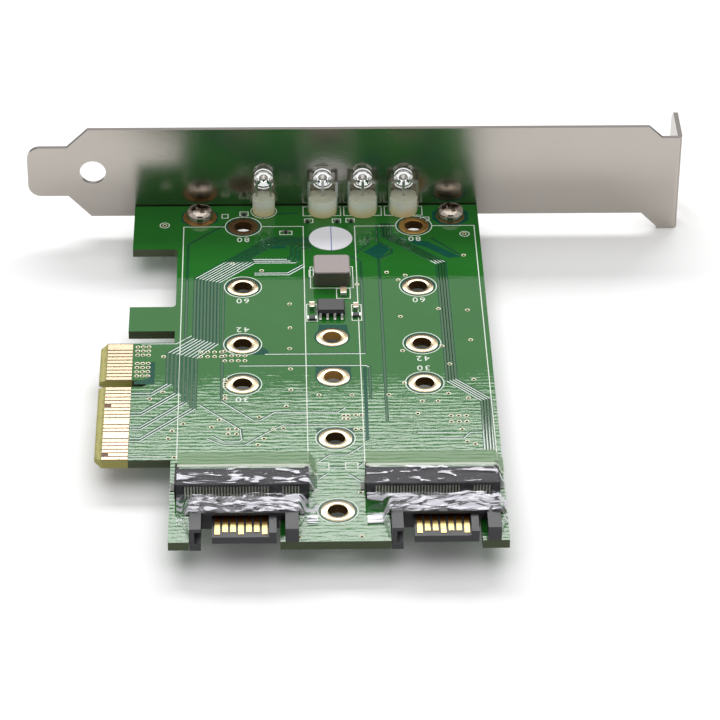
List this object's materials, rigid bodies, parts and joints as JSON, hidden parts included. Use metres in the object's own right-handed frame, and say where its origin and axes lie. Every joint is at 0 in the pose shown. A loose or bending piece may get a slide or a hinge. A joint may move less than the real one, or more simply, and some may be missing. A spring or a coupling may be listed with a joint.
{
  "type": "ssd adapter card",
  "caption": "Full-height expansion card with slot bracket, SSD sockets on both sides of the board, each top one paired with a data port.",
  "frame": {"origin": "middle of the key slot at the outer end of the contact tongue, on the component side of the board", "axes": "+X along the slot bracket to its bent screw tab, +Y from the front edge to the bracket, +Z out of the component side"},
  "size_m": [0.12, 0.113, 0.0218],
  "materials": {
    "green_laminate": "solder-masked glass-epoxy laminate, semi-gloss green",
    "gold_plating": "bright gold plating",
    "bracket_steel": "satin nickel-plated steel sheet",
    "nickel": "bright nickel-plated screw steel",
    "black_moulding": "satin black moulded plastic",
    "tin": "tinned, semi-bright",
    "ferrite": "grey ferrite composite, matt",
    "chip_black": "black moulding compound, matt",
    "capacitor_tan": "tan ceramic, matt",
    "clear_plastic": "water-clear moulded epoxy",
    "milky_plastic": "milky translucent nylon",
    "sticker_white": "white paper sticker",
    "clear_film": "clear glossy film, slightly amber"
  },
  "bodies": {
    "root": {"circuit_board": "green_laminate", "edge_contacts_top": "gold_plating", "edge_contacts_bottom": "gold_plating", "hole_plating": "gold_plating", "screw_pads": "gold_plating", "slot_bracket": "bracket_steel", "bracket_screws": "nickel", "ssd_socket_left_housing": "black_moulding", "ssd_socket_right_housing": "black_moulding", "ssd_socket_back_housing": "black_moulding", "ssd_socket_left_contacts": "gold_plating", "ssd_socket_right_contacts": "gold_plating", "ssd_socket_back_contacts": "gold_plating", "ssd_socket_left_tabs": "tin", "ssd_socket_right_tabs": "tin", "ssd_socket_back_tabs": "tin", "data_port_left_housing": "black_moulding", "data_port_right_housing": "black_moulding", "data_port_left_contacts": "gold_plating", "data_port_right_contacts": "gold_plating", "data_port_left_tabs": "tin", "data_port_right_tabs": "tin", "inductor_body": "ferrite", "inductor_terminals": "tin", "regulator_chip": "chip_black", "regulator_leads": "tin", "capacitor_bodies": "capacitor_tan", "capacitor_ends": "tin", "resistor_bodies": "chip_black", "resistor_ends": "tin", "check_sticker": "sticker_white", "clear_film_left": "clear_film", "clear_film_right": "clear_film", "lamp_1_lens": "clear_plastic", "lamp_1_spacer": "milky_plastic", "lamp_1_leads": "tin", "lamp_2_lens": "clear_plastic", "lamp_2_spacer": "milky_plastic", "lamp_2_leads": "tin", "lamp_3_lens": "clear_plastic", "lamp_3_spacer": "milky_plastic", "lamp_3_leads": "tin", "lamp_4_lens": "clear_plastic", "lamp_4_spacer": "milky_plastic", "lamp_4_leads": "tin"}
  },
  "joints": []
}
